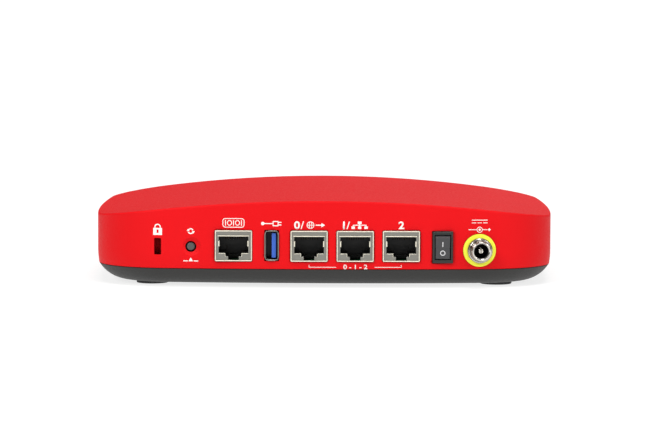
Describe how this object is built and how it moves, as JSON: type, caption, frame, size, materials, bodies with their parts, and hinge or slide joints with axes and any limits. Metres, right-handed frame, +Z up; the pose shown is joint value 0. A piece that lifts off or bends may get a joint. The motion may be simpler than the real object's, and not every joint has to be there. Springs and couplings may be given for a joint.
{
  "type": "firewall appliance",
  "caption": "Low desktop network firewall with an arched lid over a shallow tray, a bowed connector face with sockets, rocker switch, reset button and coaxial power inlet.",
  "frame": {"origin": "on the ground, under the middle of the whole's bounding box, with the inlet's barrel counted in", "axes": "+Z up, +X along the width, the connector face looks towards -Y and the indicator face towards +Y"},
  "size_m": [0.206, 0.174, 0.0385],
  "materials": {
    "cover_red": "fine-spark moulded ABS, satin",
    "tray_grey": "fine-spark moulded ABS, matt",
    "foot_rubber": "matt silicone rubber",
    "plated_sheet": "bright nickel plate on formed sheet",
    "nickel_turned": "bright nickel plate on turned brass",
    "screw_steel": "black zinc plate",
    "insert_black": "glass-filled nylon, matt",
    "contact_gold": "gold plate",
    "tongue_blue": "moulded PBT, satin",
    "switch_black": "moulded nylon, satin",
    "rocker_grey": "moulded nylon, fine matt",
    "marker_yellow": "printed polycarbonate film",
    "button_grey": "moulded acetal",
    "board_green": "solder mask over glass-epoxy laminate",
    "chip_black": "moulded epoxy",
    "pad_grey": "silicone gap pad",
    "sink_black": "black anodised extrusion",
    "can_silver": "plain drawn can",
    "ferrite_grey": "shielded ferrite",
    "pipe_clear": "clear polycarbonate",
    "led_white": "white package",
    "lead_red": "PVC sheath",
    "lead_black": "PVC sheath",
    "header_white": "natural nylon"
  },
  "bodies": {
    "case": {"base_tray": "tray_grey", "board_screws": "screw_steel", "capacitors": "can_silver", "case_screws": "screw_steel", "coin_cell": "can_silver", "coin_cell_holder": "insert_black", "console_port_contacts": "contact_gold", "console_port_insert": "insert_black", "console_port_shield": "plated_sheet", "crystal": "can_silver", "foot_front_left": "foot_rubber", "foot_front_right": "foot_rubber", "foot_rear_left": "foot_rubber", "foot_rear_right": "foot_rubber", "heat_sink": "sink_black", "heat_sink_pins": "header_white", "indicator_leds": "led_white", "inductors": "ferrite_grey", "inlet_barrel": "nickel_turned", "inlet_blades": "plated_sheet", "inlet_body": "insert_black", "inlet_marker_ring": "marker_yellow", "inlet_nut": "nickel_turned", "inlet_pin": "nickel_turned", "lead_header": "header_white", "lead_sleeves": "header_white", "light_pipe": "pipe_clear", "main_board": "board_green", "memory_chips": "chip_black", "network_chip": "chip_black", "port_0_contacts": "contact_gold", "port_0_insert": "insert_black", "port_0_shield": "plated_sheet", "port_1_contacts": "contact_gold", "port_1_insert": "insert_black", "port_1_shield": "plated_sheet", "port_2_contacts": "contact_gold", "port_2_insert": "insert_black", "port_2_shield": "plated_sheet", "port_transformers": "chip_black", "processor": "chip_black", "reset_bracket": "plated_sheet", "reset_switch_case": "insert_black", "small_chips": "chip_black", "switch_housing": "switch_black", "switch_lead_live": "lead_red", "switch_lead_return": "lead_black", "switch_terminals": "plated_sheet", "thermal_pad": "pad_grey", "top_cover": "cover_red", "usb_contacts": "contact_gold", "usb_shell": "plated_sheet", "usb_tongue": "tongue_blue"},
    "rocker": {"power_rocker": "rocker_grey"},
    "reset_plunger": {"reset_button": "button_grey", "reset_stem": "insert_black"}
  },
  "joints": [
    {"name": "power_rocker_tilt", "type": "hinge", "parent": "case", "child": "rocker", "pos_m": [0.05195, -0.08006, 0.0182], "axis": [-1, 0, 0], "range_deg": [0, 20]},
    {"name": "reset_press", "type": "slide", "parent": "case", "child": "reset_plunger", "axis": [0, 1, 0], "range_m": [0, 0.0005], "stiffness_N_per_m": 400, "springref_m": -0.001}
  ]
}
